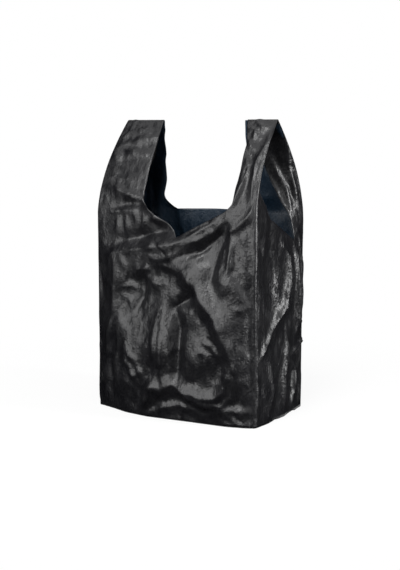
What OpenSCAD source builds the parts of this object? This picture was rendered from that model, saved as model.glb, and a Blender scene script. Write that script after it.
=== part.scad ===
// Vest carrier bag of thin black film, standing open on the floor.
// The bag is one gusseted tube of film: two panels and two side gussets, closed at the
// bottom, with a die-cut neck and a notch in each gusset that leave two handles.
// x runs across the front panel, y from front to back, z up. Sizes are in millimetres.

/* [Bag] */
// Width of the front and back panels
panel_w = 300; // [240:5:400]
// Depth of a side gusset where the bag stands open
gusset_d = 170; // [130:5:220]
// Height from the floor to the top of the handles
stand_h = 480; // [440:5:560]
// Height of the neck, where the handles begin
neck_h = 328; // [280:1:350]

/* [Handles] */
// Width of a handle where it is sealed
strap_w = 70; // [50:1:90]
// Width of the side flap folded behind each strap, at the top
flap_w = 58; // [40:1:64]
// Size of the curve in the corners of the neck
cut_r = 29; // [20:1:60]
// How far the outer end of each handle lies in from the corner below it
handle_inset = 7; // [0:1:20]
// Distance from the front corner to the notch in a gusset
notch_front = 49; // [35:1:60]
// Distance from the back corner to the notch in a gusset
notch_back = 40; // [30:1:60]
// How far the notch dips below the neck
notch_dip = 42; // [10:1:60]
// How far the front of the neck sags
neck_sag = 33; // [0:1:40]

/* [Film] */
// Thickness of the solid that stands for the film
film_t = 0.6; // [0.4:0.1:0.7]
// Radius of the four upright corner folds
corner_r = 5; // [4:0.5:12]
// Radius of those folds where a handle is pressed flat
flat_r = 1.2; // [1.1:0.1:2]
// Gap between the layers of film at the top of a handle
layer_gap = 1.6; // [1.5:0.1:3]
// How far the front panel bows out at its foot
front_bow = 25; // [0:1:35]
// How far the side gussets and the back bow out
side_bow = 6; // [0:1:15]
// Depth of the folds and hollows, as a share of those listed below
fold_depth = 1; // [0:0.1:1.2]

/* [Hidden] */
half_w = panel_w / 2;
half_d = gusset_d / 2;
// Size of the panel on which the folds below are listed, across and up
drawn = [300, 328];
// Depth of the gusset on which its folds are listed
drawn_d = 170;

// Columns of the mesh in one quarter: neck, strap, corner, flap and notch. The front
// panel has twice as many below the neck, because it carries the most folds.
neck_cols = 3;
front_neck_cols = 5;
strap_cols = 6;
corner_cols = 2;
flap_cols = 5;
notch_cols = 2;
other_cols = corner_cols + flap_cols + notch_cols;
front_cols = front_neck_cols + other_cols + 2 * strap_cols;
back_cols = neck_cols + other_cols + strap_cols;
ring_cols = 2 * (front_cols + back_cols);
loop_cols = strap_cols + corner_cols + flap_cols;
// Rows of the mesh: below the neck, in the curve of the neck, and above it
cup_rows = 25;
curve_rows = 4;
straight_rows = 6;
loop_rows = curve_rows + straight_rows + 1;

// Folds of the front panel: the width of the slope on the left and on the right of
// the line, then the points of the line as [across, up, height].
FRONT_FOLDS = [
    [50, 13, [[4, 263, 4], [29, 240, 11], [49, 222, 15], [72, 193, 18], [91, 171, 18],
              [105, 137, 17], [118, 104, 14], [127, 68, 10], [137, 41, 6], [145, 15, 2]]],
    [14, 14, [[96, 306, -6], [85, 300, -10], [73, 290, -13], [57, 273, -12], [14, 264, -4]]],
    [10, 16, [[96, 300, -6], [90, 283, -13], [82, 254, -16], [78, 230, -15], [96, 189, -3]]],
    [14, 10, [[106, 308, 3], [98, 273, 11], [93, 236, 12], [119, 217, 7], [133, 196, 1]]],
    [10, 10, [[46, 206, -4], [12, 184, -7], [21, 150, -12], [20, 104, -12], [20, 61, -5]]],
    [10, 10, [[-24, 53, 5], [-7, 50, 6], [16, 60, 9], [36, 50, 9], [64, 42, 9], [89, 44, 9],
              [101, 55, 10], [108, 80, 9], [112, 90, 5]]],
    [10, 22, [[-105, 269, 4], [-102, 251, 10], [-98, 218, 12], [-104, 169, 11], [-121, 117, 6],
              [-123, 63, 4], [-123, 5, 3]]],
    [10, 26, [[-103, 266, 4], [-55, 273, 9], [-12, 281, 12], [18, 286, 11], [45, 300, 7],
              [72, 317, 3]]],
    [18, 9, [[-104, 281, -4], [-70, 289, -9], [-40, 298, -11], [-12, 304, -9], [4, 303, -5]]],
    [9, 9, [[-46, 2, 4], [-36, 28, 9], [-25, 52, 6]]],
    [8, 24, [[-117, 118, 3], [-104, 142, 6], [-90, 154, 6], [-79, 156, 2]]],
];
// Hollows and bulges of the front panel: height, centre and radii across and up
FRONT_SWELLS = [
    [12, [-8, 112], [24, 58]],
    [15, [58, 118], [30, 70]],
    [8, [-75, 90], [26, 60]],
    [-10, [-45, 200], [34, 46]],
];
// Folds of the side gussets, across from front to back
SIDE_FOLDS = [
    [10, 10, [[4, 278, 3], [20, 258, 6], [20, 190, 5], [-16, 156, 4], [-69, 107, 2]]],
    [8, 8, [[47, 261, 5], [52, 186, 6], [51, 136, 3]]],
    [9, 9, [[10, 114, 3], [6, 60, 4], [10, 12, 3]]],
];
SIDE_SWELLS = [
    [-7, [-35, 210], [30, 70]],
    [-6, [34, 60], [18, 60]],
];
// Folds of the back panel, across from left to right as seen from the front
BACK_FOLDS = [
    [20, 12, [[-95, 290, 3], [-60, 235, 9], [-20, 170, 9], [10, 90, 6], [20, 30, 2]]],
    [12, 24, [[110, 300, 3], [85, 240, 8], [70, 170, 8], [82, 100, 5], [100, 30, 2]]],
    [10, 10, [[-100, 60, 2], [-40, 48, 5], [30, 40, 5], [95, 55, 2]]],
];
BACK_SWELLS = [
    [8, [-70, 120], [34, 70]],
    [9, [30, 200], [40, 70]],
];

function mix(a, b, t) = a + (b - a) * t;
function ease(t) = t < 0 ? 0 : t > 1 ? 1 : t * t * (3 - 2 * t);

// One fold at a point, as [distance, height, nearest point of its line]: the nearest
// stretch of the line decides
function stretch(p, a, b, left, right) =
    let (start = [a.x, a.y],
         along = [b.x - a.x, b.y - a.y],
         to = p - start,
         t = max(0, min(1, to * along / (along * along))),
         off = to - t * along,
         side = cross(along, off) > 0 ? left : right)
    [norm(off), mix(a.z, b.z, t) * exp(-norm(off) / side), start + t * along];
function nearest(found) =
    let (away = [for (s = found) s[0]])
    found[search(min(away), away)[0]];
function near_fold(p, f) =
    nearest([for (i = [0 : len(f[2]) - 2]) stretch(p, f[2][i], f[2][i + 1], f[0], f[1])]);
function fold(p, f) = near_fold(p, f)[1];
function nearest_line(p, folds) = nearest([for (f = folds) near_fold(p, f)]);
function swell(p, s) =
    s[0] * exp(-pow((p.x - s[1].x) / s[2].x, 2) - pow((p.y - s[1].y) / s[2].y, 2));
function total(list) = len(list) == 0 ? 0 : list * [for (v = list) 1];
function relief(p, folds, swells) =
    fold_depth * (total([for (f = folds) fold(p, f)]) + total([for (s = swells) swell(p, s)]));

// How far the front panel bows out, as a share of front_bow
function bow_across(a) =
    lookup(a, [[-1, 0], [-0.75, 0.35], [-0.54, 0.8], [-0.23, 1], [0.2, 0.75], [0.7, 0.52], [1, 0]]);
function bow_up(b) = lookup(b, [[0, 1], [0.3, 1.05], [0.6, 0.8], [1, 0.35], [1.2, 0]]);
// The relief fades out at the taut corner folds, at the foot and up the handles
function fade(a, b) = ease((1 - abs(a)) * 5) * lookup(b, [[0, 0.35], [0.05, 1], [1, 1], [1.18, 0]]);

// The edge of the neck, from the middle line out, at a height above the neck's bottom
cut_far = half_w - strap_w;
round_r = min(cut_r, cut_far - 10);
function cut_at(h) = h >= round_r ? cut_far : cut_far - round_r * pow(1 - h / round_r, 2);

// Each face is worked on in shares: a across from its middle line, b up to the neck.
// A point of the mesh that is close to the line of a fold is moved onto the line.
panel_step = min(cut_at(0) / front_neck_cols, (half_w - corner_r - cut_at(0)) / (2 * strap_cols));
side_step = (min(notch_front, notch_back) - corner_r) / flap_cols;
FRONT = [drawn.x / 2, FRONT_FOLDS, FRONT_SWELLS, 0.4 * panel_step * drawn.x / panel_w];
BACK = [drawn.x / 2, BACK_FOLDS, BACK_SWELLS, 0.4 * panel_step * drawn.x / panel_w];
SIDE = [drawn_d / 2, SIDE_FOLDS, SIDE_SWELLS, 0.4 * side_step * drawn_d / gusset_d];
function listed(face, a, b) = [a * face[0], b * drawn.y];
function bow(face, a, b) =
    (face == FRONT ? front_bow * bow_across(a) : side_bow * (1 - a * a)) * bow_up(b);
function face_out(face, a, b) =
    bow(face, a, b) + fade(a, b) * relief(listed(face, a, b), face[1], face[2]);
// Where a point of the mesh goes when the line of a fold is close, as [a, b, caught]
function caught(face, a, b) =
    let (found = nearest_line(listed(face, a, b), face[1]))
    found[0] < face[3] ? [found[2].x / face[0], found[2].y / drawn.y, true] : [a, b, false];

// Heights of the rows above the neck
strap_h = stand_h - neck_h;
function row_height(r) =
    r <= curve_rows ? round_r * r / curve_rows
                    : mix(round_r, strap_h - 2 * layer_gap, (r - curve_rows) / straight_rows);

// How far the film has moved sideways at the neck edge of each strap, up the strap
SHIFT_FRONT_RIGHT = [[0, 25], [0.13, 31], [0.6, 28], [0.75, 26], [0.95, 12], [1, 9]];
SHIFT_FRONT_LEFT = [[0, 25], [0.15, 26], [0.25, 22], [0.6, 19], [0.8, 16], [1, 10]];
SHIFT_BACK_RIGHT = [[0, 0], [0.4, 0], [0.75, 4], [1, 9]];
SHIFT_BACK_LEFT = [[0, -28], [0.1, -27], [0.35, -17], [0.6, -12], [0.8, -4], [1, 10]];
function shift(right, front, t) =
    lookup(t, right ? (front ? SHIFT_FRONT_RIGHT : SHIFT_BACK_RIGHT)
                    : (front ? SHIFT_FRONT_LEFT : SHIFT_BACK_LEFT)) * strap_w / 70;
// The middle of the neck has moved too: in front it is the lowest point of its edge
NECK_SHIFT = [16, -14];
// How far the inner edge of a strap at the back curls forward
TUCK_RIGHT = [[0, 10], [0.15, 20], [0.4, 20], [0.7, 7], [0.9, 0]];
TUCK_LEFT = [[0, 30], [0.1, 30], [0.35, 22], [0.6, 12], [0.82, 4], [0.9, 0]];
function tuck(right, front, t) =
    front ? 0 : lookup(t, right ? TUCK_RIGHT : TUCK_LEFT) * min(1, gusset_d / drawn_d);

// Up a strap: how far its corner has leant to the middle, how far its flap has folded
// in, and how wide the flap is between the notch and the top. The flap at the back of
// the left handle stays open longest.
function lean(t) = pow(t, 1.7);
TURN = [[0, 0], [0.15, 9], [0.35, 38], [0.6, 66], [0.85, 82], [1, 90]];
TURN_BACK_LEFT = [[0, 0], [0.3, 8], [0.5, 30], [0.7, 66], [0.85, 82], [1, 90]];
function flap_turn(right, front, t) = lookup(t, right || front ? TURN : TURN_BACK_LEFT);
function flap_at(t, base) =
    lookup(t, [[0, base], [0.2, min(base, flap_w / 2)], [0.5, flap_w * 0.7], [1, flap_w]]);

// Height of the film at the neck line: it sags in front and dips at the notches
// The share of the sag runs from the middle of the neck to a strap
SAG_RIGHT = [[0, 1], [0.3, 0.68], [0.6, 0.38], [1, 0]];
SAG_LEFT = [[0, 1], [0.25, 0.62], [0.5, 0.34], [1, 0]];
function front_sag(share, right) = neck_sag * lookup(share, right ? SAG_RIGHT : SAG_LEFT);
function notch_line(y) =
    neck_h - notch_dip * lookup(y / half_d, [[-1, 0], [-0.42, 0.08], [0, 0.5], [0.5, 1], [1, 0.05]]);

// A quarter's cross-section, right front, as a list of [x, y, out x, out y, share, face].
// t runs up the strap from 0 at the neck line and h is the height above that line. share
// falls from 1 at the edge of the neck to 0 at the corner. face: 0 panel, 1 corner, 2 side.
function section(t, h, front, neck, count, turn) =
    let (corner_x = half_w - handle_inset * t,
         face_y = -mix(half_d, 1.5 * layer_gap + flat_r, lean(t)),
         r = mix(corner_r, flat_r, ease(t * 1.5)),
         flap = flap_at(t, (front ? notch_front : notch_back) - corner_r),
         centre = [corner_x - r, face_y + r],
         edge = cut_at(h),
         flap_start = centre + r * [cos(turn), sin(turn)])
    concat(
        [for (i = [0 : 1 : neck - 1]) [edge * i / neck, face_y, 0, -1, i / neck, 0]],
        [for (i = [0 : count - 1])
            [mix(edge, corner_x - r, i / count), face_y, 0, -1, 1 - i / count, 0]],
        [for (i = [0 : corner_cols - 1])
            let (a = -90 + (90 + turn) * i / corner_cols)
            [centre.x + r * cos(a), centre.y + r * sin(a), cos(a), sin(a), 0, 1]],
        [for (i = [0 : flap_cols])
            let (p = flap_start + flap * i / flap_cols * [-sin(turn), cos(turn)])
            [p.x, p.y, cos(turn), sin(turn), 0, i == 0 ? 1 : 2]]);

// Below the neck the notch is closed
function neck_of(front) = front ? front_neck_cols : neck_cols;
function cup_section(front) =
    let (s = section(0, 0, front, neck_of(front), front ? 2 * strap_cols : strap_cols, 0),
         last = s[len(s) - 1])
    concat(s, [for (i = [1 : notch_cols]) [half_w, mix(last.y, 0, i / notch_cols), 1, 0, 0, 2]]);
CUP_SECTIONS = [cup_section(false), cup_section(true)];

// A point of the film from a point of the section, mirrored into its own quarter,
// shifted with the edge of the neck and pushed out by the folds, as [x, y, z, caught]
function placed(s, right, front, t, z, inside) =
    let (rise = ease((z / neck_h - 0.55) / 0.45),
         own = shift(right, front, t),
         both = NECK_SHIFT[front ? 0 : 1] * strap_w / 70,
         in_neck = s.x < cut_at(0) && t == 0,
         moved = in_neck ? mix(both, own, s[4]) : own * s[4],
         forward = rise * tuck(right, front, t) * pow(s[4], 1.5),
         x = (right ? s.x : -s.x) + rise * moved,
         y = front ? s.y : -s.y - forward,
         nx = right ? s[2] : -s[2],
         ny = front ? s[3] : -s[3],
         on_side = s[5] == 2,
         face = on_side ? SIDE : front ? FRONT : BACK,
         a = on_side ? y / half_d : x / half_w,
         at = inside && s[5] != 1 ? caught(face, a, z / neck_h) : [a, z / neck_h, false],
         out = s[5] == 1 ? 0 : face_out(face, at[0], at[1]) * (on_side ? 1 - ease(t * 4) : 1),
         x1 = on_side ? x : at[0] * half_w,
         y1 = on_side && t == 0 ? at[0] * half_d : y)
    [x1 + nx * out, y1 + ny * out, at[1] * neck_h, at[2]];

// The neck line over a point of the section
function line_at(s, right, front) =
    s[5] == 1 ? neck_h
        : s[5] == 2 ? notch_line(front ? s.y : -s.y)
        : neck_h - (front && s.x < cut_at(0) ? front_sag(s[4], right) : 0);

function cup_point(right, front, j, r) =
    let (s = CUP_SECTIONS[front ? 1 : 0][j])
    placed(s, right, front, 0, line_at(s, right, front) * r / cup_rows, r > 0 && r < cup_rows);
// Place in the cup's section of a column of a strap
function cup_place(front, i) =
    neck_of(front) + (front ? i + min(i, strap_cols) : i);
function loop_point(right, front, i, r) =
    let (h = row_height(r),
         t = h / (strap_h - 2 * layer_gap),
         s = section(t, h, front, 0, strap_cols, flap_turn(right, front, t))[i],
         base = CUP_SECTIONS[front ? 1 : 0][cup_place(front, i)],
         z0 = line_at(s[5] == 0 ? s : base, right, front),
         z = mix(z0, stand_h - 2 * layer_gap, t),
         p = placed(s, right, front, t, z, false))
    [p.x, p.y, p.z];

// The last row of a loop lies on the middle plane, where its two straps meet
function top_point(right, i) =
    let (p = loop_point(right, true, i, loop_rows - 1),
         under = i <= strap_cols ? 0 : min(1, (i - strap_cols) / corner_cols))
    [p.x, 0, stand_h - under * layer_gap * 1.4];

// Columns of the ring run from the front middle round by the right, back and left
right_end = front_cols + back_cols;
function is_right(c) = c < right_end;
function is_front(c) = c < front_cols || c >= right_end + back_cols;
function place_in(c) =
    c < front_cols ? c : c < right_end ? right_end - c
        : c < right_end + back_cols ? c - right_end : ring_cols - c;
function ring_of(right, front, j) =
    right ? (front ? j : right_end - j) : (front ? (ring_cols - j) % ring_cols : right_end + j);

cup_all = [for (r = [0 : cup_rows])
    [for (c = [0 : ring_cols - 1]) cup_point(is_right(c), is_front(c), place_in(c), r)]];
cup = [for (row = cup_all) [for (p = row) [p.x, p.y, p.z]]];
LOOPS = [[true, true], [true, false], [false, true], [false, false]];
loops = [for (q = LOOPS)
    [for (r = [0 : loop_rows])
        [for (i = [0 : loop_cols])
            r == 0 ? cup[cup_rows][ring_of(q[0], q[1], cup_place(q[1], i))]
                   : r == loop_rows ? top_point(q[0], i)
                                    : loop_point(q[0], q[1], i, r)]]];

// Outward direction of the film at a point, from its neighbours across and up
function unit(v) = v / max(norm(v), 0.000001);
function cup_out(r, c) =
    let (across = cup[r][(c + 1) % ring_cols] - cup[r][(c + ring_cols - 1) % ring_cols],
         up = cup[min(r + 1, cup_rows)][c] - cup[max(r - 1, 0)][c])
    unit(cross(across, up));
function loop_out(q, r, i) =
    let (g = loops[q],
         back = loops[q % 2 == 0 ? q + 1 : q - 1],
         across = g[r][min(i + 1, loop_cols)] - g[r][max(i - 1, 0)],
         above = r == loop_rows ? back[r - 1][i] : g[r + 1][i],
         flip = LOOPS[q][0] == LOOPS[q][1] ? 1 : -1)
    unit(cross(across, above - g[r - 1][i])) * flip;

cup_count = (cup_rows + 1) * ring_cols;
row_size = loop_cols + 1;
// The two straps of a handle share its top row, which is kept with the front strap
function loop_start(q) =
    cup_count + (floor(q / 2) * (2 * loop_rows - 1) + (q % 2) * loop_rows) * row_size;
function loop_id(q, r, i) =
    r == 0 ? cup_rows * ring_cols + ring_of(LOOPS[q][0], LOOPS[q][1], cup_place(LOOPS[q][1], i))
           : r == loop_rows && q % 2 == 1 ? loop_id(q - 1, r, i)
                                          : loop_start(q) + (r - 1) * row_size + i;

outer = concat(
    [for (r = [0 : cup_rows]) for (c = [0 : ring_cols - 1]) cup[r][c]],
    [for (q = [0 : 3]) for (r = [1 : loop_rows - q % 2]) for (i = [0 : loop_cols]) loops[q][r][i]]);
inner = concat(
    [for (r = [0 : cup_rows]) for (c = [0 : ring_cols - 1])
        let (n = cup_out(r, c), flat = r == 0 ? unit([n.x, n.y, 0]) : n)
        cup[r][c] - film_t * flat + (r == 0 ? [0, 0, film_t] : [0, 0, 0])],
    [for (q = [0 : 3]) for (r = [1 : loop_rows - q % 2]) for (i = [0 : loop_cols])
        loops[q][r][i] - film_t * loop_out(q, r, i)]);
count = len(outer);
// The bag stands with the middle of its whole depth over the origin
depths = [for (p = outer) p.y];
mid = [0, (min(depths) + max(depths)) / 2, 0];

function quad(a, b, c, d) = [[a, b, c], [a, c, d]];
function flipped(faces) = [for (f = faces) [f[2], f[1], f[0]]];
function within(faces) = [for (f = faces) [for (v = f) v + count]];
function joined(lists) = [for (l = lists) for (f = l) f];

// A square of the cup is split along a fold where one runs from corner to corner
function cup_quad(r, c) =
    let (n = (c + 1) % ring_cols,
         a = r * ring_cols + c,
         b = (r + 1) * ring_cols + c,
         d = r * ring_cols + n,
         e = (r + 1) * ring_cols + n,
         falls = cup_all[r + 1][c][3] && cup_all[r][n][3])
    falls ? [[a, b, d], [b, e, d]] : quad(a, b, e, d);
// The lowest row of the front straps stands on twice as many points
function loop_quad(q, r, i) =
    let (a = loop_id(q, r, i), b = loop_id(q, r + 1, i), e = loop_id(q, r + 1, i + 1),
         d = loop_id(q, r, i + 1),
         mid = r == 0 && LOOPS[q][1] && i < strap_cols
             ? cup_rows * ring_cols + ring_of(LOOPS[q][0], true, front_neck_cols + 2 * i + 1) : -1)
    mid < 0 ? quad(a, b, e, d) : [[a, b, mid], [b, e, mid], [mid, e, d]];

skin = concat(
    joined([for (r = [0 : cup_rows - 1]) for (c = [0 : ring_cols - 1]) cup_quad(r, c)]),
    joined([for (q = [0 : 3]) for (r = [0 : loop_rows - 1]) for (i = [0 : loop_cols - 1])
        LOOPS[q][0] == LOOPS[q][1] ? loop_quad(q, r, i) : flipped(loop_quad(q, r, i))]));
// Edges along which the film is cut, in the direction in which the skin runs along them
function edge_wall(a, b) = quad(b, a, a + count, b + count);
function in_neck(c) =
    let (k = is_right(c) == is_front(c) ? place_in(c) : place_in(c) - 1,
         last = is_front(c) ? front_cols : back_cols)
    k < neck_of(is_front(c)) || k >= last - notch_cols;
neck_edges = [for (c = [0 : ring_cols - 1])
    if (in_neck(c)) [cup_rows * ring_cols + c, cup_rows * ring_cols + (c + 1) % ring_cols]];
strap_edges = [for (q = [0 : 3]) for (r = [0 : loop_rows - 1])
    let (same = LOOPS[q][0] == LOOPS[q][1],
         a = [loop_id(q, r, 0), loop_id(q, r + 1, 0)],
         b = [loop_id(q, r + 1, loop_cols), loop_id(q, r, loop_cols)])
    for (e = [a, b]) same ? e : [e[1], e[0]]];
rim = joined([for (e = concat(neck_edges, strap_edges)) edge_wall(e[0], e[1])]);
floor_faces = concat(
    [for (c = [0 : ring_cols - 1]) [2 * count, c, (c + 1) % ring_cols]],
    [for (c = [0 : ring_cols - 1]) [2 * count + 1, count + (c + 1) % ring_cols, count + c]]);

module bag() {
    color([0.02, 0.022, 0.026])
    polyhedron(
        points = [for (p = concat(outer, inner, [[0, 0, 0], [0, 0, film_t]])) p - mid],
        faces = concat(skin, flipped(within(skin)), rim, floor_faces),
        convexity = 12);
}

bag();
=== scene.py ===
# %% [markdown]
# # A black vest carrier bag, standing open
#
# The real bag is one tube of very thin black film. It is blown, folded flat with a
# gusset down each side, welded shut across the bottom and across the tops of the
# handles, and then the neck is punched out. The CAD model holds that shape as one
# solid. This script makes the same sheet again, much finer, and gives it the creases
# and the dull shine that make it look like plastic film.

import math

import bpy
import numpy as np
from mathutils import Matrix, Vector
from mathutils.geometry import delaunay_2d_cdt


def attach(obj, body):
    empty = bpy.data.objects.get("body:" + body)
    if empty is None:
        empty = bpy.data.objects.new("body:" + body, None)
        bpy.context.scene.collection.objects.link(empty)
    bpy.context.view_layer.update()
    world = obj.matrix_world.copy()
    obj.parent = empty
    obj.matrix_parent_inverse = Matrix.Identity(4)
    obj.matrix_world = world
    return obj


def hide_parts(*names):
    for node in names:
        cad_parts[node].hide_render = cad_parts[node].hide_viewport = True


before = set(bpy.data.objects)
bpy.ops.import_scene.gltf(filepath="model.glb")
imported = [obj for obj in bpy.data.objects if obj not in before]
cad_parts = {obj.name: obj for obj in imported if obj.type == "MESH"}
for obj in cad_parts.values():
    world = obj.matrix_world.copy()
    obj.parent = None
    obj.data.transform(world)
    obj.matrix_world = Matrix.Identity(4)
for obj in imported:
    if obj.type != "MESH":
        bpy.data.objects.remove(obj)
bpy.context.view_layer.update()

# %% [markdown]
# ## The camera
#
# The camera comes first, because every other choice is judged through it. Its place
# was found by fitting the bag's corners: it stands 1.8 m away, a little to the right
# of the front and a little above the floor. A long lens keeps the upright edges
# almost parallel.

# %% Place the camera
scene = bpy.context.scene
scene.view_settings.view_transform = "Standard"
AZIMUTH, ELEVATION, DISTANCE = math.radians(30.9), math.radians(8.3), 1.8
TARGET = Vector((-0.0005, 0.0101, 0.206))
toward_eye = Vector((
    math.sin(AZIMUTH) * math.cos(ELEVATION),
    -math.cos(AZIMUTH) * math.cos(ELEVATION),
    math.sin(ELEVATION),
))
lens = bpy.data.cameras.new("camera")
lens.sensor_fit = "VERTICAL"
lens.sensor_height = 36.0
lens.lens = 67.8
camera = bpy.data.objects.new("camera", lens)
scene.collection.objects.link(camera)
camera.location = TARGET + DISTANCE * toward_eye
camera.rotation_euler = (-toward_eye).to_track_quat("-Z", "Y").to_euler()
scene.camera = camera
print("camera at", tuple(round(v, 3) for v in camera.location))

# %% [markdown]
# ## The sizes of the bag
#
# They are the same named sizes as in the part's source, in millimetres. Only the
# film is thinner: the CAD wall is 0.6 mm thick so that it is a sound solid, and the
# real film is a few hundredths of a millimetre.

# %% Sizes in millimetres
PANEL_W, GUSSET_D, STAND_H, NECK_H = 300.0, 170.0, 480.0, 328.0
STRAP_W, FLAP_W, CUT = 70.0, 58.0, 29.0
HANDLE_INSET = 7.0
NOTCH_FRONT, NOTCH_BACK, NOTCH_DIP, NECK_SAG = 49.0, 40.0, 42.0, 33.0
CORNER_R, FLAT_R, LAYER_GAP = 5.0, 0.7, 0.9
FRONT_BOW, SIDE_BOW = 25.0, 6.0
FILM = 0.22
MM = 0.001
HALF_W, HALF_D = PANEL_W / 2, GUSSET_D / 2
CUT_FAR = HALF_W - STRAP_W
STRAP_H = STAND_H - NECK_H
# The bottom's weld ends this far from the middle, where it forks to the corners
WELD_END = 65
# The bag is shifted by this so that its box is centred, as in the CAD model
MIDDLE_Y = -9.86
# Columns in one quarter of the tube, and rows below and above the neck
NECK_N, STRAP_N, CORNER_N, FLAP_N, NOTCH_N = 17, 31, 4, 13, 11
QUARTER = NECK_N + STRAP_N + CORNER_N + FLAP_N + NOTCH_N
LOOP_N = STRAP_N + CORNER_N + FLAP_N
RING = 4 * QUARTER
CUP_ROWS, LOOP_ROWS, FOOT_ROWS = 108, 54, 7
print("columns round the tube", RING, "columns up a strap", LOOP_N)

# %% [markdown]
# ## The sheet without its creases
#
# The tube is worked out one level at a time. A quarter of its cross-section runs from
# the middle of a panel, past the strap and round the corner fold, to the middle of
# the gusset. Mirroring that quarter gives the other three. Above the neck only the
# strap, the corner and the flap behind it are left, and they lean in until the front
# and the back strap meet at the top.


# %% Small helpers
def lerp(a, b, t):
    return a + (b - a) * t


def ease(t):
    t = np.clip(t, 0.0, 1.0)
    return t * t * (3 - 2 * t)


def table(t, *points):
    at, values = zip(*points)
    return np.interp(t, at, values)


def soft_table(t, *points):
    """The same, with the corners between the points rounded off."""
    steps = np.linspace(-0.09, 0.09, 13)
    weights = np.exp(-((steps / 0.05) ** 2))
    return sum(w * table(t + s, *points) for w, s in zip(weights, steps)) / weights.sum()


def cut_at(h):
    """Distance from the middle line to the edge of the neck, h above its bottom."""
    return CUT_FAR - CUT * max(0.0, 1 - h / CUT) ** 2


# %% One quarter of the cross-section
def section(t, h, front, turn=0.0):
    """Columns of x, y, outward x, outward y, share of the neck's shift, and face."""
    corner_x = HALF_W - HANDLE_INSET * t
    face_y = -lerp(HALF_D, 1.5 * LAYER_GAP + FLAT_R, t**1.7)
    r = lerp(CORNER_R, FLAT_R, ease(1.5 * t))
    base = (NOTCH_FRONT if front else NOTCH_BACK) - CORNER_R
    flap = table(t, (0, base), (0.2, min(base, FLAP_W / 2)), (0.5, 0.7 * FLAP_W), (1, FLAP_W))
    cx, cy, edge = corner_x - r, face_y + r, cut_at(h)
    n, s = np.arange(NECK_N) / NECK_N, np.arange(STRAP_N) / STRAP_N
    a = -math.pi / 2 + (math.pi / 2 + turn) * np.arange(CORNER_N) / CORNER_N
    f = flap * np.arange(FLAP_N + 1) / FLAP_N
    fx = cx + r * math.cos(turn) - f * math.sin(turn)
    fy = cy + r * math.sin(turn) + f * math.cos(turn)
    one = np.ones
    return np.concatenate([
        np.stack([edge * n, face_y * one(NECK_N), 0 * n, -one(NECK_N), n, 0 * n], 1),
        np.stack([lerp(edge, cx, s), face_y * one(STRAP_N), 0 * s, -one(STRAP_N), 1 - s, 0 * s], 1),
        np.stack([cx + r * np.cos(a), cy + r * np.sin(a), np.cos(a), np.sin(a), 0 * a, 1 + 0 * a], 1),
        np.stack([fx, fy, 0 * f + math.cos(turn), 0 * f + math.sin(turn), 0 * f, 2 + 0 * f], 1),
    ])


def closed_section(front):
    """Below the neck the notch is closed, so the section runs on to the middle."""
    s = section(0.0, 0.0, front)
    more = np.repeat(s[-1:], NOTCH_N, 0)
    more[:, 1] = lerp(s[-1, 1], 0.0, np.arange(1, NOTCH_N + 1) / NOTCH_N)
    return np.concatenate([s, more])


CLOSED = {front: closed_section(front) for front in (True, False)}

# %% [markdown]
# The punched edge of each strap has crept sideways as the bag was pulled open, by a
# different amount on each of the four straps. The neck sags in front, and each notch
# dips towards the back. At the back the inner edge of each strap has curled forward.


# %% How the straps and the neck have moved
CREEP = {
    (True, True): ((0, 25), (0.13, 31), (0.6, 28), (0.75, 26), (0.95, 12), (1, 9)),
    (False, True): ((0, 25), (0.15, 26), (0.25, 22), (0.6, 19), (0.8, 16), (1, 10)),
    (True, False): ((0, 0), (0.4, 0), (0.75, 4), (1, 9)),
    (False, False): ((0, -28), (0.1, -27), (0.35, -17), (0.6, -12), (0.8, -4), (1, 10)),
}
NECK_CREEP = {True: 16, False: -14}
TUCK = {
    True: ((0, 10), (0.15, 20), (0.4, 20), (0.7, 7), (0.9, 0)),
    False: ((0, 30), (0.1, 30), (0.35, 22), (0.6, 12), (0.82, 4), (0.9, 0)),
}
TURN = {True: ((0, 0), (0.15, 9), (0.35, 38), (0.6, 66), (0.85, 82), (1, 90)),
        False: ((0, 0), (0.3, 8), (0.5, 30), (0.7, 66), (0.85, 82), (1, 90))}
SAG = {
    True: ((0, 1), (0.3, 0.68), (0.6, 0.38), (1, 0)),
    False: ((0, 1), (0.25, 0.62), (0.5, 0.34), (1, 0)),
}


def neck_line(points, front, right):
    """Height of the film's edge over points of the section."""
    y = points[:, 1] if front else -points[:, 1]
    sag = NECK_SAG * table(points[:, 4], *SAG[right]) if front else 0.0
    sag = np.where(points[:, 0] < cut_at(0), sag, 0.0)
    notch = NOTCH_DIP * soft_table(y / HALF_D, (-1, 0), (-0.42, 0.08), (0, 0.5), (0.5, 1), (1, 0.05))
    return NECK_H - np.where(points[:, 5] == 0, sag, np.where(points[:, 5] == 2, notch, 0.0))


def bow(face, a, b):
    """How far a panel or a gusset bows out, with a across and b up it."""
    across = soft_table(a, (-1, 0), (-0.75, 0.35), (-0.54, 0.8), (-0.23, 1), (0.2, 0.75), (0.7, 0.52), (1, 0))
    up = soft_table(b, (0, 1), (0.3, 1.05), (0.6, 0.8), (1, 0.35), (1.2, 0))
    across = across * ease((1 - np.abs(a)) * 9)
    return np.where(face == 0, FRONT_BOW * across, SIDE_BOW * (1 - a * a)) * up


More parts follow.
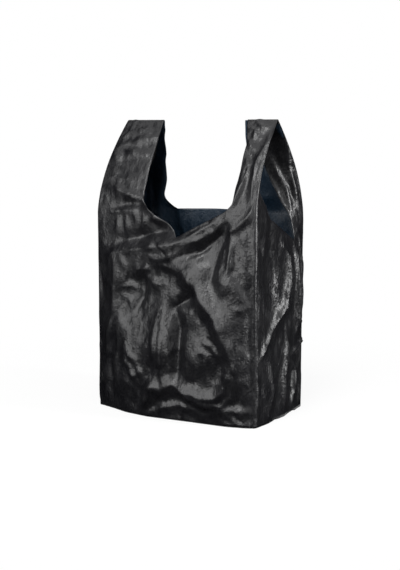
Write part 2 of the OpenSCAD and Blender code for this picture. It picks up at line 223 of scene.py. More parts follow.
def placed(s, right, front, t, z):
    """Points of the film, and where they are on their face, from a section."""
    sx, sy = (1 if right else -1), (1 if front else -1)
    rise = ease((z / NECK_H - 0.55) / 0.45)
    own = table(t, *CREEP[right, front])
    shared = (s[:, 0] < cut_at(0)) & (t == 0)
    creep = np.where(shared, lerp(NECK_CREEP[front], own, s[:, 4]), own * s[:, 4])
    forward = 0.0 if front else table(t, *TUCK[right]) * s[:, 4] ** 1.5
    x, y = sx * s[:, 0] + rise * creep, sy * s[:, 1] - rise * forward
    side = s[:, 5] == 2
    a = np.where(side, y / HALF_D, x / HALF_W)
    face = np.where(side, 2, 0 if front else 1)
    out = bow(face, a, z / NECK_H) * np.where(s[:, 5] == 1, 0, np.where(side, 1 - ease(4 * t), 1))
    points = np.stack([x + sx * s[:, 2] * out, y + sy * s[:, 3] * out, z + 0 * x], 1)
    face = np.where(side, 2 if right else 3, np.where(s[:, 5] == 1, 4, face))
    return points, np.stack([face, a, z / NECK_H + 0 * a], 1)


# %% [markdown]
# ## From columns and rows to one mesh
#
# The rows below the neck are closed rings. Each strap is a patch of its own that
# starts on the top ring, and the front and back patch of a handle share their last
# row, which is the welded top. The bottom is drawn in from the lowest ring. All of it
# is one sheet with shared points, so that no crease stops at a join.


# %% Rings below the neck
def column(c):
    """Which quarter a column of the ring is in, and its place in the section."""
    q, k = divmod(c % RING, QUARTER)
    return q < 2, q in (0, 3), k if q % 2 == 0 else QUARTER - k


def ring_of(right, front, j):
    return (j if front else 2 * QUARTER - j) if right else ((RING - j) % RING if front else 2 * QUARTER + j)


places = [column(c) for c in range(RING)]
order = {key: [(c, p[2]) for c, p in enumerate(places) if p[:2] == key] for key in CREEP}
cup, cup_face = np.zeros((CUP_ROWS + 1, RING, 3)), np.zeros((CUP_ROWS + 1, RING, 3))
for r in range(CUP_ROWS + 1):
    for (right, front), pairs in order.items():
        s = CLOSED[front][[j for _, j in pairs]]
        z = neck_line(s, front, right) * r / CUP_ROWS
        columns = [c for c, _ in pairs]
        cup[r, columns], cup_face[r, columns] = placed(s, right, front, 0.0, z)
print("ring rows", cup.shape[:2])

# %% Straps above the neck
TOP = STRAP_H - 2 * LAYER_GAP
HEIGHTS = TOP * (1 - (1 - np.arange(LOOP_ROWS) / (LOOP_ROWS - 1)) ** 1.25)


def strap(right, front):
    """Rows of one strap, the first on the top ring and the last on the welded top."""
    rows, faces = [], []
    js = NECK_N + np.arange(LOOP_N + 1)
    base = CLOSED[front][js]
    for h in HEIGHTS:
        t = h / TOP
        turn = math.radians(table(t, *TURN[right or front]))
        s = section(t, h, front, turn)[NECK_N:]
        z0 = np.where(s[:, 5] == 0, neck_line(s, front, right), neck_line(base, front, right))
        p, f = placed(s, right, front, t, lerp(z0, STAND_H - 2 * LAYER_GAP, t))
        rows.append(p)
        faces.append(f)
    last = placed(section(1.0, TOP, True, math.pi / 2)[NECK_N:], right, True, 1.0, STAND_H + 0 * s[:, 0])[0]
    under = np.clip((np.arange(LOOP_N + 1) - STRAP_N) / CORNER_N, 0, 1)
    last[:, 1] = 0
    last[:, 2] = STAND_H - under * LAYER_GAP * 1.4
    return np.array(rows + [last]), np.array(faces + [faces[-1]])


straps = {key: strap(*key) for key in CREEP}
print("strap rows", LOOP_ROWS + 1)

# %% [markdown]
# The bottom of a gusseted bag is folded like the bottom of a paper bag. The weld
# runs along the middle, and forks at each end to the two corners. Here the rings
# shrink onto that middle line, and the weld is pressed a little lower than the rest.

# %% Rings of the bottom
foot, foot_face = [], []
spine = np.stack([np.clip(cup[0, :, 0], -WELD_END, WELD_END), 0 * cup[0, :, 1]], 1)
for k in range(1, FOOT_ROWS + 1):
    share = k / (FOOT_ROWS + 1)
    xy = lerp(cup[0, :, :2], spine, share)
    fork = np.abs(np.abs(xy[:, 1]) - np.maximum(0, np.abs(xy[:, 0]) - WELD_END))
    lift = 1.1 * (1 - np.exp(-fork / 4)) * ease(6 * share)
    foot.append(np.stack([xy[:, 0], xy[:, 1], lift], 1))
    foot_face.append(np.stack([0 * lift + 5, xy[:, 0] / HALF_W, xy[:, 1] / HALF_D], 1))
foot, foot_face = np.array(foot), np.array(foot_face)

# %% Number the points and make the faces
points, faces_at = [cup.reshape(-1, 3)], [cup_face.reshape(-1, 3)]
cup_id = np.arange(cup.shape[0] * RING).reshape(-1, RING)
total = cup_id.size
strap_id = {}
for (right, front), (rows, where) in straps.items():
    ids = np.zeros(rows.shape[:2], int)
    ids[0] = [cup_id[-1, ring_of(right, front, NECK_N + i)] for i in range(LOOP_N + 1)]
    last = LOOP_ROWS + 1 if front else LOOP_ROWS
    new = rows[1:last]
    ids[1:last] = total + np.arange(new.shape[0] * new.shape[1]).reshape(new.shape[:2])
    if not front:
        ids[-1] = strap_id[right, True][-1]
    points.append(new.reshape(-1, 3))
    faces_at.append(where[1:last].reshape(-1, 3))
    total += new.shape[0] * new.shape[1]
    strap_id[right, front] = ids
foot_id = total + np.arange(foot.shape[0] * RING).reshape(-1, RING)
points.append(foot.reshape(-1, 3))
faces_at.append(foot_face.reshape(-1, 3))
points, faces_at = np.concatenate(points), np.concatenate(faces_at)


def squares(ids, loop=False, flip=False):
    """Four corners for each square of a patch, outward side first."""
    nxt = np.roll(ids, -1, 1) if loop else ids[:, 1:]
    now = ids if loop else ids[:, :-1]
    quads = np.stack([now[:-1], nxt[:-1], nxt[1:], now[1:]], -1).reshape(-1, 4)
    return quads[:, ::-1] if flip else quads


quads = [squares(cup_id, loop=True)]
quads += [squares(ids, flip=right != front) for (right, front), ids in strap_id.items()]
quads.append(squares(np.concatenate([cup_id[:1], foot_id]), loop=True, flip=True))
quads = np.concatenate(quads)
print("points", len(points), "squares", len(quads))

# %% [markdown]
# The last ring of the bottom is long and narrow, and its two sides lie against each
# other. A strip of squares from the front side to the back side closes it.

# %% Close the middle of the bottom
inner = foot_id[-1]
strip = [(inner[c], inner[-c - 1], inner[-c - 2], inner[c + 1]) for c in range(RING // 2 - 1)]
quads = np.concatenate([quads, np.array(strip)])


# %% [markdown]
# ## The folds and creases
#
# Film that has been folded small and pulled open keeps a net of sharp creases. Each
# crease is a line on the flat panel with a steep side and a gentle side, and it
# pushes the sheet out or in along its own normal. The folds and the lines that give
# this bag its look are listed, in millimetres across and up their face.


# %% Normals and creases
def normals(points):
    a, b, c, d = (points[quads[:, k]] for k in range(4))
    face = np.cross(c - a, d - b)
    total = np.zeros_like(points)
    for k in range(4):
        np.add.at(total, quads[:, k], face)
    return total / np.maximum(np.linalg.norm(total, axis=1, keepdims=True), 1e-9)


# A fold ends this many widths from its line, and its slope flattens by this power
FOOT_AT, FLATTEN = 1.9, 1.4


def crest(distance, width, blunt):
    """Height over a fold's line, from 1 on the line down to 0 at its foot."""
    away = np.sqrt(distance**2 + blunt**2) - blunt
    return np.clip(1 - away / (FOOT_AT * width), 0, 1) ** FLATTEN


def fold(at, left, right, line, blunt=1.0):
    """Height at each point of one folded line, listed as (across, up, height)."""
    best = np.full(len(at), 1e9)
    height = np.zeros(len(at))
    for a, b in zip(line, line[1:]):
        start, along = np.array(a[:2], float), np.array(b[:2], float) - np.array(a[:2], float)
        t = np.clip((at - start) @ along / (along @ along), 0, 1)
        off = at - start - t[:, None] * along
        gap = np.linalg.norm(off, axis=1)
        width = np.where(along[0] * off[:, 1] - along[1] * off[:, 0] > 0, left, right)
        here = lerp(a[2], b[2], t) * crest(gap, width, blunt)
        height = np.where(gap < best, here, height)
        best = np.minimum(best, gap)
    return height


def swell(at, height, centre, size):
    off = (at - np.array(centre, float)) / np.array(size, float)
    return height * np.exp(-(off**2).sum(1))


# %% The folds of the front panel
# Width of the slope to the left and to the right of the line, then the line itself
FRONT_FOLDS = [
    (50, 13, [(4, 263, 4), (29, 240, 11), (49, 222, 15), (72, 193, 18), (91, 171, 18),
              (105, 137, 17), (118, 104, 14), (127, 68, 10), (137, 41, 6), (145, 15, 2)]),
    (14, 14, [(96, 306, -6), (85, 300, -10), (73, 290, -13), (57, 273, -12), (14, 264, -4)]),
    (12, 18, [(96, 300, -5), (90, 283, -9), (82, 254, -11), (78, 230, -10), (96, 189, -3)]),
    (16, 12, [(106, 308, 2), (98, 273, 5), (93, 236, 5), (119, 217, 3), (133, 196, 1)]),
    (10, 10, [(46, 206, -4), (12, 184, -7), (21, 150, -12), (20, 104, -12), (20, 61, -5)]),
    (10, 10, [(-24, 53, 5), (-7, 50, 6), (16, 60, 9), (36, 50, 9), (64, 42, 9), (89, 44, 9),
              (101, 55, 10), (108, 80, 9), (112, 90, 5)]),
    (10, 22, [(-105, 269, 4), (-102, 251, 10), (-98, 218, 12), (-104, 169, 11), (-121, 117, 6),
              (-123, 63, 4), (-123, 5, 3)]),
    (10, 26, [(-103, 266, 4), (-55, 273, 9), (-12, 281, 12), (18, 286, 11), (45, 300, 7),
              (72, 317, 3)]),
    (18, 9, [(-104, 281, -4), (-70, 289, -9), (-40, 298, -11), (-12, 304, -9), (4, 303, -5)]),
    (9, 9, [(-46, 2, 4), (-36, 28, 9), (-25, 52, 6)]),
    (8, 24, [(-117, 118, 3), (-104, 142, 6), (-90, 154, 6), (-79, 156, 2)]),
]
# Bulges and hollows: height, centre, and radii across and up
FRONT_SWELLS = [
    (9, (-8, 112), (26, 66)),
    (11, (58, 112), (32, 74)),
    (6, (-75, 90), (28, 64)),
    (-8, (-45, 200), (34, 46)),
]
# Finer lines of the front panel
FRONT_LINES = [
    (4, 7, [(-69, 230, 1), (-56, 241, 4), (-40, 243, 4), (-32, 237, 1)]),
    (6, 6, [(-49, 238, -2), (-51, 216, -5), (-53, 194, -5), (-64, 172, -1)]),
    (5, 12, [(-47, 235, 1), (-33, 223, 4), (-17, 219, 4), (8, 226, 1)]),
    (9, 9, [(52, 219, -2), (45, 208, -5), (38, 198, -5), (10, 183, -2)]),
    (4, 4, [(121, 190, 1), (128, 188, 4), (137, 192, 1)]),
    (5, 5, [(137, 194, 1), (121, 224, 3), (104, 238, 1)]),
    (4, 4, [(104, 238, 1), (109, 252, 4), (110, 285, 4), (108, 312, 1)]),
    (4, 7, [(66, 136, 1), (82, 129, 4), (92, 115, 4), (95, 92, 1)]),
    (4, 5, [(58, 112, 1), (70, 118, 3), (80, 112, 3), (84, 96, 1)]),
    (5, 8, [(-36, 2, 1), (-8, 19, 4), (24, 27, 4), (52, 22, 3), (66, 14, 1)]),
    (5, 8, [(70, 15, 1), (100, 26, 4), (128, 27, 4), (145, 25, 1)]),
    (4, 6, [(19, 60, 1), (40, 40, 4), (70, 31, 4), (98, 32, 4), (115, 48, 3), (120, 78, 1)]),
    (3, 5, [(-105, 5, 2), (-104, 40, 4), (-104, 80, 3), (-106, 112, 1)]),
    (5, 5, [(-96, 150, 1), (-92, 120, 3), (-98, 80, 3), (-94, 30, 1)]),
    (4, 4, [(-76, 112, 1), (-66, 98, 3), (-54, 92, 1)]),
    (4, 4, [(-80, 92, 1), (-66, 80, 3), (-55, 60, 2), (-46, 52, 1)]),
    (4, 4, [(-60, 92, 1), (-48, 76, 3), (-44, 62, 1)]),
    (4, 4, [(-66, 72, 1), (-58, 66, 3), (-50, 72, 1)]),
    (5, 4, [(-6, 172, 1), (-8, 130, 3), (-6, 80, 3), (-4, 60, 1)]),
    (4, 4, [(-18, 170, 1), (-20, 120, 3), (-18, 66, 1)]),
    (4, 5, [(10, 170, 1), (6, 130, 2), (9, 84, 3), (8, 62, 1)]),
    (5, 5, [(-118, 250, 1), (-112, 262, 3), (-102, 268, 1)]),
    (5, 5, [(-92, 262, 1), (-80, 238, 4), (-86, 214, 1)]),
    (4, 6, [(-88, 208, 1), (-72, 214, 4), (-58, 206, 1)]),
    (4, 6, [(-86, 196, 1), (-74, 188, 3), (-68, 172, 1)]),
    (5, 5, [(-40, 264, 1), (-18, 258, 3), (2, 262, 3), (22, 272, 1)]),
    (5, 5, [(-20, 250, 1), (4, 246, 3), (20, 240, 1)]),
    (5, 6, [(28, 284, 1), (50, 290, 4), (78, 306, 4), (98, 326, 1)]),
    (6, 3, [(12, 298, -1), (38, 304, -4), (66, 320, -4), (92, 340, -1)]),
    (4, 5, [(36, 262, 1), (56, 266, 3), (70, 276, 1)]),
    (4, 4, [(116, 300, 1), (122, 270, 3), (126, 244, 1)]),
    (4, 5, [(128, 300, 1), (132, 262, 3), (136, 226, 1)]),
    (4, 4, [(100, 22, 1), (122, 8, 4), (144, 2, 2)]),
    (4, 4, [(92, 10, 1), (118, 2, 3), (142, 0, 2)]),
    (4, 4, [(118, 34, 1), (132, 14, 3), (145, 4, 2)]),
    (3, 4, [(-118, 332, 2), (-96, 334, 3), (-66, 334, 3), (-64, 312, 2), (-66, 288, 1)]),
    (3, 4, [(-104, 332, 1), (-103, 308, 3), (-104, 284, 1)]),
    (3, 4, [(-86, 332, 1), (-84, 308, 3), (-85, 288, 1)]),
    (4, 4, [(-52, 334, 1), (-50, 318, 4), (-56, 296, 1)]),
    (4, 3, [(-38, 321, 1), (-30, 323, 4), (-20, 317, 2)]),
]
# Creases of the front straps, left and right
STRAP_LINES = [
    (4, 7, [(-131, 374, 2), (-109, 367, 6), (-91, 361, 6), (-58, 352, 5), (-32, 336, 5), (-10, 321, 4)]),
    (7, 4, [(-112, 337, -2), (-90, 345, -5), (-66, 346, -5), (-48, 341, -3)]),
    (4, 6, [(-140, 435, 2), (-115, 441, 5), (-88, 446, 4), (-70, 452, 2)]),
    (5, 4, [(-141, 452, 1), (-115, 451, 4), (-88, 449, 1)]),
    (4, 7, [(-128, 430, 1), (-99, 426, 5), (-76, 423, 3)]),
    (3, 4, [(-144, 415, 1), (-128, 410, 3), (-113, 404, 1)]),
    (3, 4, [(-145, 424, 1), (-132, 420, 3), (-120, 415, 1)]),
    (3, 4, [(-140, 401, 1), (-128, 398, 3), (-114, 393, 1)]),
    (3, 4, [(-126, 466, 1), (-104, 461, 3), (-84, 462, 1)]),
    (3, 5, [(-134, 392, 1), (-112, 384, 3), (-88, 386, 1)]),
    (4, 3, [(-128, 476, 1), (-124, 458, 3), (-136, 444, 1)]),
    (5, 5, [(140, 450, 1), (134, 412, 5), (136, 386, 4), (140, 352, 1)]),
    (4, 6, [(122, 408, 1), (120, 382, 4), (112, 356, 4), (100, 334, 1)]),
    (4, 4, [(98, 464, 2), (112, 462, 4), (116, 444, 1)]),
    (4, 4, [(110, 474, 2), (124, 466, 4), (134, 470, 1)]),
    (4, 4, [(102, 452, 1), (116, 436, 4), (128, 430, 1)]),
    (4, 5, [(112, 424, 1), (118, 412, 3), (130, 404, 1)]),
    (5, 5, [(148, 352, 1), (136, 330, 4), (116, 312, 3), (96, 306, 1)]),
]

# %% The folds of the back panel and the gussets
BACK_FOLDS = [
    (20, 12, [(-95, 290, 3), (-60, 235, 9), (-20, 170, 9), (10, 90, 6), (20, 30, 2)]),
    (12, 24, [(110, 300, 3), (85, 240, 8), (70, 170, 8), (82, 100, 5), (100, 30, 2)]),
    (10, 10, [(-100, 60, 2), (-40, 48, 5), (30, 40, 5), (95, 55, 2)]),
]
BACK_SWELLS = [(8, (-70, 120), (34, 70)), (9, (30, 200), (40, 70))]
SIDE_FOLDS = [
    (10, 10, [(4, 278, 3), (20, 258, 6), (20, 190, 5), (-16, 156, 4), (-69, 107, 2)]),
    (8, 8, [(47, 261, 5), (52, 186, 6), (51, 136, 3)]),
    (9, 9, [(10, 114, 3), (6, 60, 4), (10, 12, 3)]),
]
SIDE_SWELLS = [(-7, (-35, 210), (30, 70)), (-6, (34, 60), (18, 60))]
SIDE_LINES = [
    (3, 4, [(14, 270, 1), (22, 236, 4), (8, 184, 5), (-38, 146, 3), (-72, 108, 1)]),
    (3, 3, [(44, 284, 2), (48, 220, 5), (56, 164, 5), (64, 120, 1)]),
    (3, 4, [(30, 280, 1), (36, 226, 3), (32, 170, 1)]),
    (3, 4, [(56, 156, 2), (74, 114, 5), (36, 97, 2)]),
    (3, 3, [(62, 300, 1), (74, 246, 4), (78, 182, 4), (72, 130, 1)]),
    (3, 3, [(13, 156, 1), (14, 114, 4), (3, 74, 3), (6, 20, 1)]),
    (3, 4, [(34, 94, 1), (54, 70, 4), (52, 36, 4), (36, 4, 1)]),
    (3, 3, [(24, 90, 1), (20, 60, 3), (28, 30, 1)]),
    (3, 4, [(-60, 280, 1), (-54, 200, 2), (-60, 120, 1)]),
    (3, 4, [(-40, 90, 1), (-32, 50, 3), (-44, 8, 1)]),
    (3, 3, [(66, 60, 1), (70, 34, 3), (64, 6, 1)]),
    (3, 3, [(68, 338, 1), (60, 372, 6), (46, 412, 6), (28, 446, 1)]),
    (3, 3, [(52, 336, 1), (48, 372, 6), (36, 405, 4), (20, 440, 1)]),
]

# %% Push the sheet out along the large folds
SPAN = {0: HALF_W, 1: HALF_W, 2: HALF_D, 3: HALF_D}
LISTS = {
    0: (FRONT_FOLDS, FRONT_SWELLS, FRONT_LINES + STRAP_LINES),
    1: (BACK_FOLDS, BACK_SWELLS, []),
    2: (SIDE_FOLDS, SIDE_SWELLS, SIDE_LINES),
    3: (SIDE_FOLDS, SIDE_SWELLS, SIDE_LINES),
}
LINE_SHARE, LINE_BLUNT = 1.15, 0.4


def face_points(face):
    """Which points are on a face, and where they are on it, in millimetres."""
    on = np.flatnonzero(faces_at[:, 0] == face)
    a, b = faces_at[on, 1], faces_at[on, 2]
    return on, a, b, np.stack([a * SPAN[face], b * NECK_H], 1)


def taut(a):
    """Share of a crease that is left near the corner folds, which are pulled tight."""
    return ease((1 - np.abs(a)) * 14)


height = np.zeros(len(points))
for face, (folds, swells, lines) in LISTS.items():
    on, a, b, at = face_points(face)
    edge = ease((1 - np.abs(a)) * 5)
    up = soft_table(b, (-0.1, 0.3), (0, 0.35), (0.05, 1), (1, 1), (1.18, 0))
    large = sum(fold(at, *f) for f in folds) + sum(swell(at, *s) for s in swells)
    fine = sum((fold(at, *f, blunt=LINE_BLUNT) for f in lines), 0 * a)
    height[on] = edge * up * large + taut(a) * LINE_SHARE * fine
points = points + height[:, None] * normals(points)
print("large folds from", round(height.min(), 1), "to", round(height.max(), 1), "mm")


# %% [markdown]
# Crumpled film is made of small flat facets that meet in sharp lines. Points are
# scattered over each face with a fixed seed, each gets a small height of its own, and
# the sheet between them is stretched flat over triangles. Two sizes of facet lie over
# each other. On the gussets and the straps they are drawn out along the pull.


# %% Facets
def facets(face, step, tall, seed):
    """Height over one face of flat triangles between scattered points."""
    rng = np.random.default_rng(seed)
    on, a, b, at = face_points(face)
    across = np.arange(-SPAN[face] - 2 * step[0], SPAN[face] + 2 * step[0], step[0])
    up = np.arange(-2 * step[1], STAND_H + 2 * step[1], step[1])
    grid = np.stack(np.meshgrid(across, up), -1)
    grid[1::2, :, 0] += step[0] / 2
    grid = (grid + rng.uniform(-0.42, 0.42, grid.shape) * step).reshape(-1, 2)
    heights = rng.normal(0, tall, len(grid))
    flat = [Vector(p) for p in grid / step]
    corners = delaunay_2d_cdt(flat, [], [], 0, 1e-6)[2]
    out = np.zeros(len(on))
    for ids in corners:
        p, q, r = grid[list(ids)]
        near = np.flatnonzero(np.all((at >= np.minimum(np.minimum(p, q), r))
                                     & (at <= np.maximum(np.maximum(p, q), r)), axis=1))
        if len(near) == 0:
            continue
        turn = (q - p)[0] * (r - p)[1] - (q - p)[1] * (r - p)[0]
        off = at[near] - p
        u = (off[:, 0] * (r - p)[1] - off[:, 1] * (r - p)[0]) / turn
        v = ((q - p)[0] * off[:, 1] - (q - p)[1] * off[:, 0]) / turn
        here = (u >= -1e-6) & (v >= -1e-6) & (u + v <= 1 + 1e-6)
        shares = np.stack([1 - u - v, u, v], 1)
        out[near[here]] = (shares @ heights[list(ids)])[here]
    return on, out * taut(a)


small = np.zeros(len(points))
# Face, size of the facets across and up, typical height, and seed
PLAN = [
    (0, (20, 27), 1.0, 11),
    (0, (7, 12), 0.40, 12),
    (1, (22, 34), 1.2, 13),
    (1, (8, 12), 0.35, 14),
    (2, (15, 52), 0.9, 15),
    (2, (7, 18), 0.30, 16),
    (3, (15, 52), 1.2, 17),
    (3, (7, 18), 0.30, 18),
]
for face, step, tall, seed in PLAN:
    on, out = facets(face, step, tall, seed)
    small[on] += out
WELD_TOP, FADE = 1.5, 8
small = small * ease((STAND_H - WELD_TOP - points[:, 2]) / FADE)
points = points + small[:, None] * normals(points)
print("facets, typical height", round(float(np.abs(small).mean()), 2), "mm")

# %% Make the mesh, in metres
points[:, 1] -= MIDDLE_Y
points[:, 2] = np.maximum(points[:, 2], 0.0)
mesh = bpy.data.meshes.new("film")
mesh.from_pydata((points * MM).tolist(), [], quads.tolist())
mesh.validate()
mesh.shade_smooth()
film = bpy.data.objects.new("film", mesh)
scene.collection.objects.link(film)
print("film", [round(v, 4) for v in film.dimensions])

# %% [markdown]
# A UV map unrolls the tube: across is the distance round it, up is the height. The
# fine lines that the blowing of the film leaves run along it, so the material can
# follow them round every fold.

# %% Unroll the tube into a UV map
face, a, b = faces_at.T
to_side, to_back = HALF_W + HALF_D, PANEL_W + GUSSET_D
around = MM * np.select(
    [face == 0, face == 2, face == 1, face == 3],
    [a * HALF_W, to_side + a * HALF_D, to_back - a * HALF_W, -to_side - a * HALF_D],
    points[:, 0],
)
uv = mesh.uv_layers.new(name="unrolled")
corner_vertex = np.zeros(len(mesh.loops), np.int32)
mesh.loops.foreach_get("vertex_index", corner_vertex)
UNROLLED_NECK = 0.32
flat = np.stack([around[corner_vertex], b[corner_vertex] * UNROLLED_NECK], 1)
uv.data.foreach_set("uv", flat.astype(np.float32).ravel())
print("unrolled from", round(float(around.min()), 3), "to", round(float(around.max()), 3), "m")

# %% [markdown]
# ## Shader maths as Python
#
# A material is a net of nodes. This small class wraps one socket, so that maths on it
# can be written as an expression, and each operator adds its Math node. One method
# makes every other node from its type, its settings and its inputs.


# %% A small socket class
class Value:
    def __init__(self, tree, socket):
        self.tree, self.socket = tree, socket

    def _math(self, operation, a, b):
        return make(self.tree, "ShaderNodeMath", {"operation": operation}, {0: a, 1: b})

    def __add__(self, other):
        return self._math("ADD", self, other)

    def __sub__(self, other):
        return self._math("SUBTRACT", self, other)

    def __rsub__(self, other):
        return self._math("SUBTRACT", other, self)

    def __mul__(self, other):
        return self._math("MULTIPLY", self, other)

    __radd__, __rmul__ = __add__, __mul__


def make(tree, kind, settings=None, inputs=None, output=0):
    """One node: its settings first, then values or links for its sockets."""
    node = tree.nodes.new(kind)
    for name, value in (settings or {}).items():
        setattr(node, name, value)
    for name, value in (inputs or {}).items():
        if isinstance(value, Value):
            tree.links.new(value.socket, node.inputs[name])
        else:
            node.inputs[name].default_value = value
    return Value(tree, node.outputs[output]) if node.outputs else node


def vector(tree, operation, a, b=None):
    """One step of vector maths."""
    inputs = {0: a}
    if b is not None:
        inputs["Scale" if operation == "SCALE" else 1] = b
    length = operation == "LENGTH"
    return make(tree, "ShaderNodeVectorMath", {"operation": operation}, inputs, output=1 if length else 0)


def empty_material(name):
    material = bpy.data.materials.new(name)
    material.use_nodes = True
    material.node_tree.nodes.clear()
    return material, material.node_tree


# %% [markdown]
# ## The black film
#
# Black bags are coloured with carbon, so the film is almost black and reflects a few
# per cent of what is in front of it. What one sees is that reflection, broken up by
# the creases. It is a dull shine: the outer skin is rough at a scale far below a
# millimetre. Small cells of the film lean a few degrees, each its own way, and the
# bump adds wrinkles too small for the mesh.


# %% Make the film's materials
def leaning_cells(tree, at):
    """The surface normal, tilted by a random few degrees in each small cell."""
    bent = make(tree, "ShaderNodeTexNoise", None, {"Vector": at, "Scale": 60.0, "Detail": 2.0}, output=1)
    bent = vector(tree, "ADD", vector(tree, "SCALE", bent, 0.010), at)
    bent = vector(tree, "MULTIPLY", bent, (1.0, 1.0, 0.55))
    normal = make(tree, "ShaderNodeNewGeometry", output=1)
    for scale, tilt in ((60.0, 0.14), (160.0, 0.13)):
        cell = make(tree, "ShaderNodeTexVoronoi", None, {"Vector": bent, "Scale": scale}, output=1)
        lean = vector(tree, "SCALE", vector(tree, "SUBTRACT", cell, (0.5, 0.5, 0.5)), tilt)
        normal = vector(tree, "ADD", normal, lean)
    return vector(tree, "NORMALIZE", normal)


def film_material(name, colour, dusty, rough):
    material, tree = empty_material(name)
    at = make(tree, "ShaderNodeTexCoord", output=3)
    unrolled = make(tree, "ShaderNodeUVMap", {"uv_map": "unrolled"})
    drawn_out = vector(tree, "MULTIPLY", unrolled, (1.0, 0.16, 1.0))
    cloudy = make(tree, "ShaderNodeTexNoise", None, {"Vector": at, "Scale": 22.0, "Detail": 4.0})
    wrinkled = make(tree, "ShaderNodeTexNoise", {"noise_type": "RIDGED_MULTIFRACTAL", "normalize": True},
                    {"Vector": at, "Scale": 190.0, "Detail": 5.0, "Roughness": 0.55})
    cracked = make(tree, "ShaderNodeTexVoronoi", {"feature": "DISTANCE_TO_EDGE"},
                   {"Vector": at, "Scale": 160.0})
    streaks = make(tree, "ShaderNodeTexNoise", None,
                   {"Vector": drawn_out, "Scale": 420.0, "Detail": 3.0})
    height = wrinkled * 0.6 + cracked * 0.5 + streaks * 0.5
    bump = make(tree, "ShaderNodeBump", None,
                {"Strength": 0.8, "Distance": 0.0009, "Height": height, "Normal": leaning_cells(tree, at)})
    tint = make(tree, "ShaderNodeMix", {"data_type": "RGBA"},
                {0: cloudy, 6: (*colour, 1.0), 7: (*dusty, 1.0)}, output=2)
    shine = rough + cloudy * 0.18 - streaks * 0.05
    surface = make(tree, "ShaderNodeBsdfPrincipled", None,
                   {"Base Color": tint, "Roughness": shine, "Normal": bump, "IOR": 1.5})
    make(tree, "ShaderNodeOutputMaterial", None, {"Surface": surface})
    return material


outside = film_material("black_film", (0.002, 0.002, 0.003), (0.006, 0.006, 0.007), 0.30)
# Painted light: the inner side's colours are bluer than the outer side's, a stand-in for light shining
# through the thin film.
inside = film_material("black_film_inside", (0.001, 0.008, 0.018), (0.002, 0.014, 0.030), 0.50)
print("materials", outside.name, "and", inside.name)

# %% [markdown]
# ## Fine crinkle with Geometry Nodes
#
# Between the creases the film is never quite flat. A small node tree moves each
# point along its normal by a noise that is stretched up the bag. Its inputs are named
# for what they do, and its seed is fixed. The result is turned into a plain mesh.


# %% Build the crinkle tree
def crinkle_tree():
    tree = bpy.data.node_groups.new("film crinkle", "GeometryNodeTree")
    face = tree.interface
    face.new_socket("Geometry", in_out="INPUT", socket_type="NodeSocketGeometry")
    for name, value in (("Height", 0.0005), ("Scale", 85.0), ("Seed", 3.0)):
        face.new_socket(name, in_out="INPUT", socket_type="NodeSocketFloat").default_value = value
    face.new_socket("Film", in_out="INPUT", socket_type="NodeSocketMaterial")
    face.new_socket("Geometry", in_out="OUTPUT", socket_type="NodeSocketGeometry")
    given = tree.nodes.new("NodeGroupInput")
    sheet, tall, scale, seed, stuff = (Value(tree, given.outputs[k]) for k in range(5))
    place = make(tree, "GeometryNodeInputPosition")
    stretched = vector(tree, "MULTIPLY", place, (1, 1, 0.55))
    noise = make(tree, "ShaderNodeTexNoise", {"noise_dimensions": "4D"},
                 {"Vector": stretched, "W": seed, "Scale": scale, "Detail": 2.0})
    out = make(tree, "GeometryNodeInputNormal")
    push = vector(tree, "SCALE", out, (noise - 0.5) * tall)
    moved = make(tree, "GeometryNodeSetPosition", None, {"Geometry": sheet, "Offset": push})
    real = make(tree, "GeometryNodeRealizeInstances", None, {"Geometry": moved})
    set_film = make(tree, "GeometryNodeSetMaterial", None, {"Geometry": real, "Material": stuff})
    make(tree, "NodeGroupOutput", None, {"Geometry": set_film})
    return tree


tree = crinkle_tree()
crinkle = film.modifiers.new("crinkle", "NODES")
crinkle.node_group = tree
ids = {item.name: item.identifier for item in tree.interface.items_tree if item.in_out == "INPUT"}
for name, value in (("Height", 0.0005), ("Scale", 85.0), ("Seed", 3.0), ("Film", outside)):
    crinkle[ids[name]] = value
evaluated = film.evaluated_get(bpy.context.evaluated_depsgraph_get())
plain = bpy.data.meshes.new_from_object(evaluated)
film.modifiers.clear()
film.data = plain
print("crinkled film", len(plain.vertices), "points")

# %% [markdown]
# ## The thickness of the film
#
# Solidify gives the sheet its two sides, and the inner side takes the second
# material, painted a little bluer than the outside as a stand-in for light
# shining through the thin film.

# %% Give the sheet two sides
for v in plain.vertices:
    v.co.z = max(v.co.z, 0.0)
plain.materials.clear()
plain.materials.append(outside)
plain.materials.append(inside)
plain.shade_smooth()
wall = film.modifiers.new("wall", "SOLIDIFY")
wall.thickness = FILM * MM
wall.offset = -1.0
wall.material_offset = 1
wall.material_offset_rim = 0
print("film", FILM, "mm thick")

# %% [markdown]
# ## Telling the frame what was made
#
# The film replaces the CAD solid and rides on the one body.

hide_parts("bag")
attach(film, "root")

# %% [markdown]
# ## The studio
#
# The ground is white paper. To the camera and to reflections it is mostly plain white,
# wholly so far from the bag, and near it a small share is real paper, which takes the
# bag's soft shadow. The sky is white to them too, and dimmer as a source of light.


# %% White ground and sky
def seen_directly(tree):
    """1 where a camera, mirror or see-through ray arrives, else 0."""
    path = tree.nodes.new("ShaderNodeLightPath")
    seen = Value(tree, path.outputs["Is Camera Ray"])
    for name in ("Is Glossy Ray", "Is Transmission Ray"):
        seen = seen + Value(tree, path.outputs[name])
    return seen


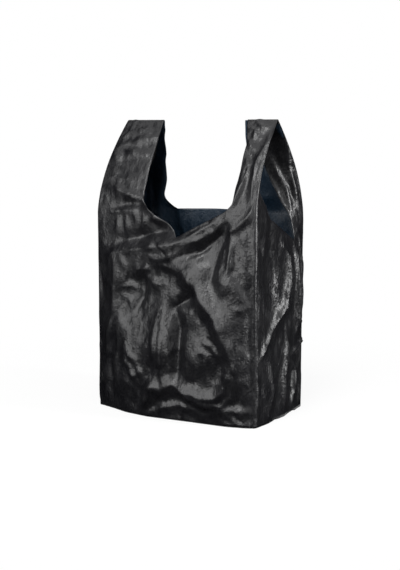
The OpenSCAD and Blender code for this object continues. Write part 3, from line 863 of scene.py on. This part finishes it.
def ground_material():
    material, tree = empty_material("white_paper")
    paper = make(tree, "ShaderNodeBsdfDiffuse", None, {"Color": (0.8, 0.8, 0.8, 1)})
    white = make(tree, "ShaderNodeEmission", None, {"Color": (1, 1, 1, 1), "Strength": 1.0})
    away = vector(tree, "LENGTH", make(tree, "ShaderNodeNewGeometry"))
    plain_share = make(tree, "ShaderNodeMapRange", {"interpolation_type": "SMOOTHSTEP"},
                       {"Value": away, "From Min": 0.15, "From Max": 0.75, "To Min": 0.86, "To Max": 1.0})
    mixed = make(tree, "ShaderNodeMixShader", None,
                 {0: seen_directly(tree) * plain_share, 1: paper, 2: white})
    make(tree, "ShaderNodeOutputMaterial", None, {"Surface": mixed})
    return material


bpy.ops.mesh.primitive_plane_add(size=14)
floor = bpy.context.object
floor.name = "floor"
floor.data.materials.append(ground_material())

world = bpy.data.worlds.new("studio")
scene.world = world
world.use_nodes = True
tree = world.node_tree
tree.nodes.clear()
dim = make(tree, "ShaderNodeBackground", None, {"Color": (1, 1, 1, 1), "Strength": 0.55})
white = make(tree, "ShaderNodeBackground", None, {"Color": (1, 1, 1, 1), "Strength": 1.0})
mixed = make(tree, "ShaderNodeMixShader", None, {0: seen_directly(tree), 1: dim, 2: white})
make(tree, "ShaderNodeOutputWorld", None, {"Surface": mixed})
print("ground and sky are white")

# %% [markdown]
# Shiny black film shows nothing but its surroundings, and in an all-white room it
# would look grey. A photographer therefore stands black cards round it, out of the
# camera's sight. Here they are planes that only reflections can see. One grey card
# lies over the black one in front, where the flat parts of the front panel mirror it.


# %% Black cards
def card_material(name, grey):
    material, tree = empty_material(name)
    even = make(tree, "ShaderNodeEmission", None, {"Color": (grey, grey, grey, 1)})
    make(tree, "ShaderNodeOutputMaterial", None, {"Surface": even})
    return material


FLAT, UPRIGHT = 0.0, math.pi / 2


def card(name, material, place, size, tip=FLAT, turn=0.0):
    """A plane of the given size, tipped up and turned, that only reflections see."""
    bpy.ops.mesh.primitive_plane_add(size=1, location=place, rotation=(tip, 0, math.radians(turn)))
    board = bpy.context.object
    board.name = name
    board.scale = (*size, 1)
    board.data.materials.append(material)
    board.visible_camera = board.visible_diffuse = board.visible_shadow = False


black_card, grey_card = card_material("black_card", 0.0), card_material("grey_card", 0.6)
card("card_before", black_card, (-0.6, -1.65, 0.001), (5.0, 3.3))
card("card_grey", grey_card, (-0.6, -1.5, 0.008), (1.7, 1.9))
card("card_left", black_card, (-1.5, 0.1, 1.2), (3.0, 2.4), UPRIGHT, 80)
card("card_beside", black_card, (-1.3, 0.2, 0.006), (2.0, 2.2))
card("card_right", black_card, (1.3, 1.3, 1.1), (3.0, 2.2), UPRIGHT, -20)
card("card_behind", black_card, (1.25, 1.0, 0.004), (2.2, 2.2))
card("card_front", black_card, (-0.3, -3.1, 1.2), (5.0, 2.4), UPRIGHT)

# %% [markdown]
# A large soft box stands where the front panel mirrors it, so that the flat parts of
# the film come out dark grey and the flanks of the folds stay black. A smaller one
# above it puts light on whatever leans back, and a narrow one on the right draws
# thin lines on the creases of the gusset.


# %% Lamps
def softbox(name, place, size, power, look_at=(0, 0, 0.25)):
    lamp = bpy.data.lights.new(name, "AREA")
    lamp.shape, lamp.size, lamp.size_y, lamp.energy = "RECTANGLE", size[0], size[1], power
    obj = bpy.data.objects.new(name, lamp)
    scene.collection.objects.link(obj)
    obj.location = place
    obj.rotation_euler = (Vector(look_at) - Vector(place)).to_track_quat("-Z", "Y").to_euler()
    obj.visible_camera = False


softbox("front", (-0.2, -1.75, 0.75), (2.0, 1.3), 30)
softbox("above", (0.3, -1.3, 1.9), (1.0, 0.8), 26)
softbox("right_strip", (1.67, 0.2, 0.6), (0.2, 1.2), 28)
print("soft boxes", [lamp.name for lamp in bpy.data.lights])
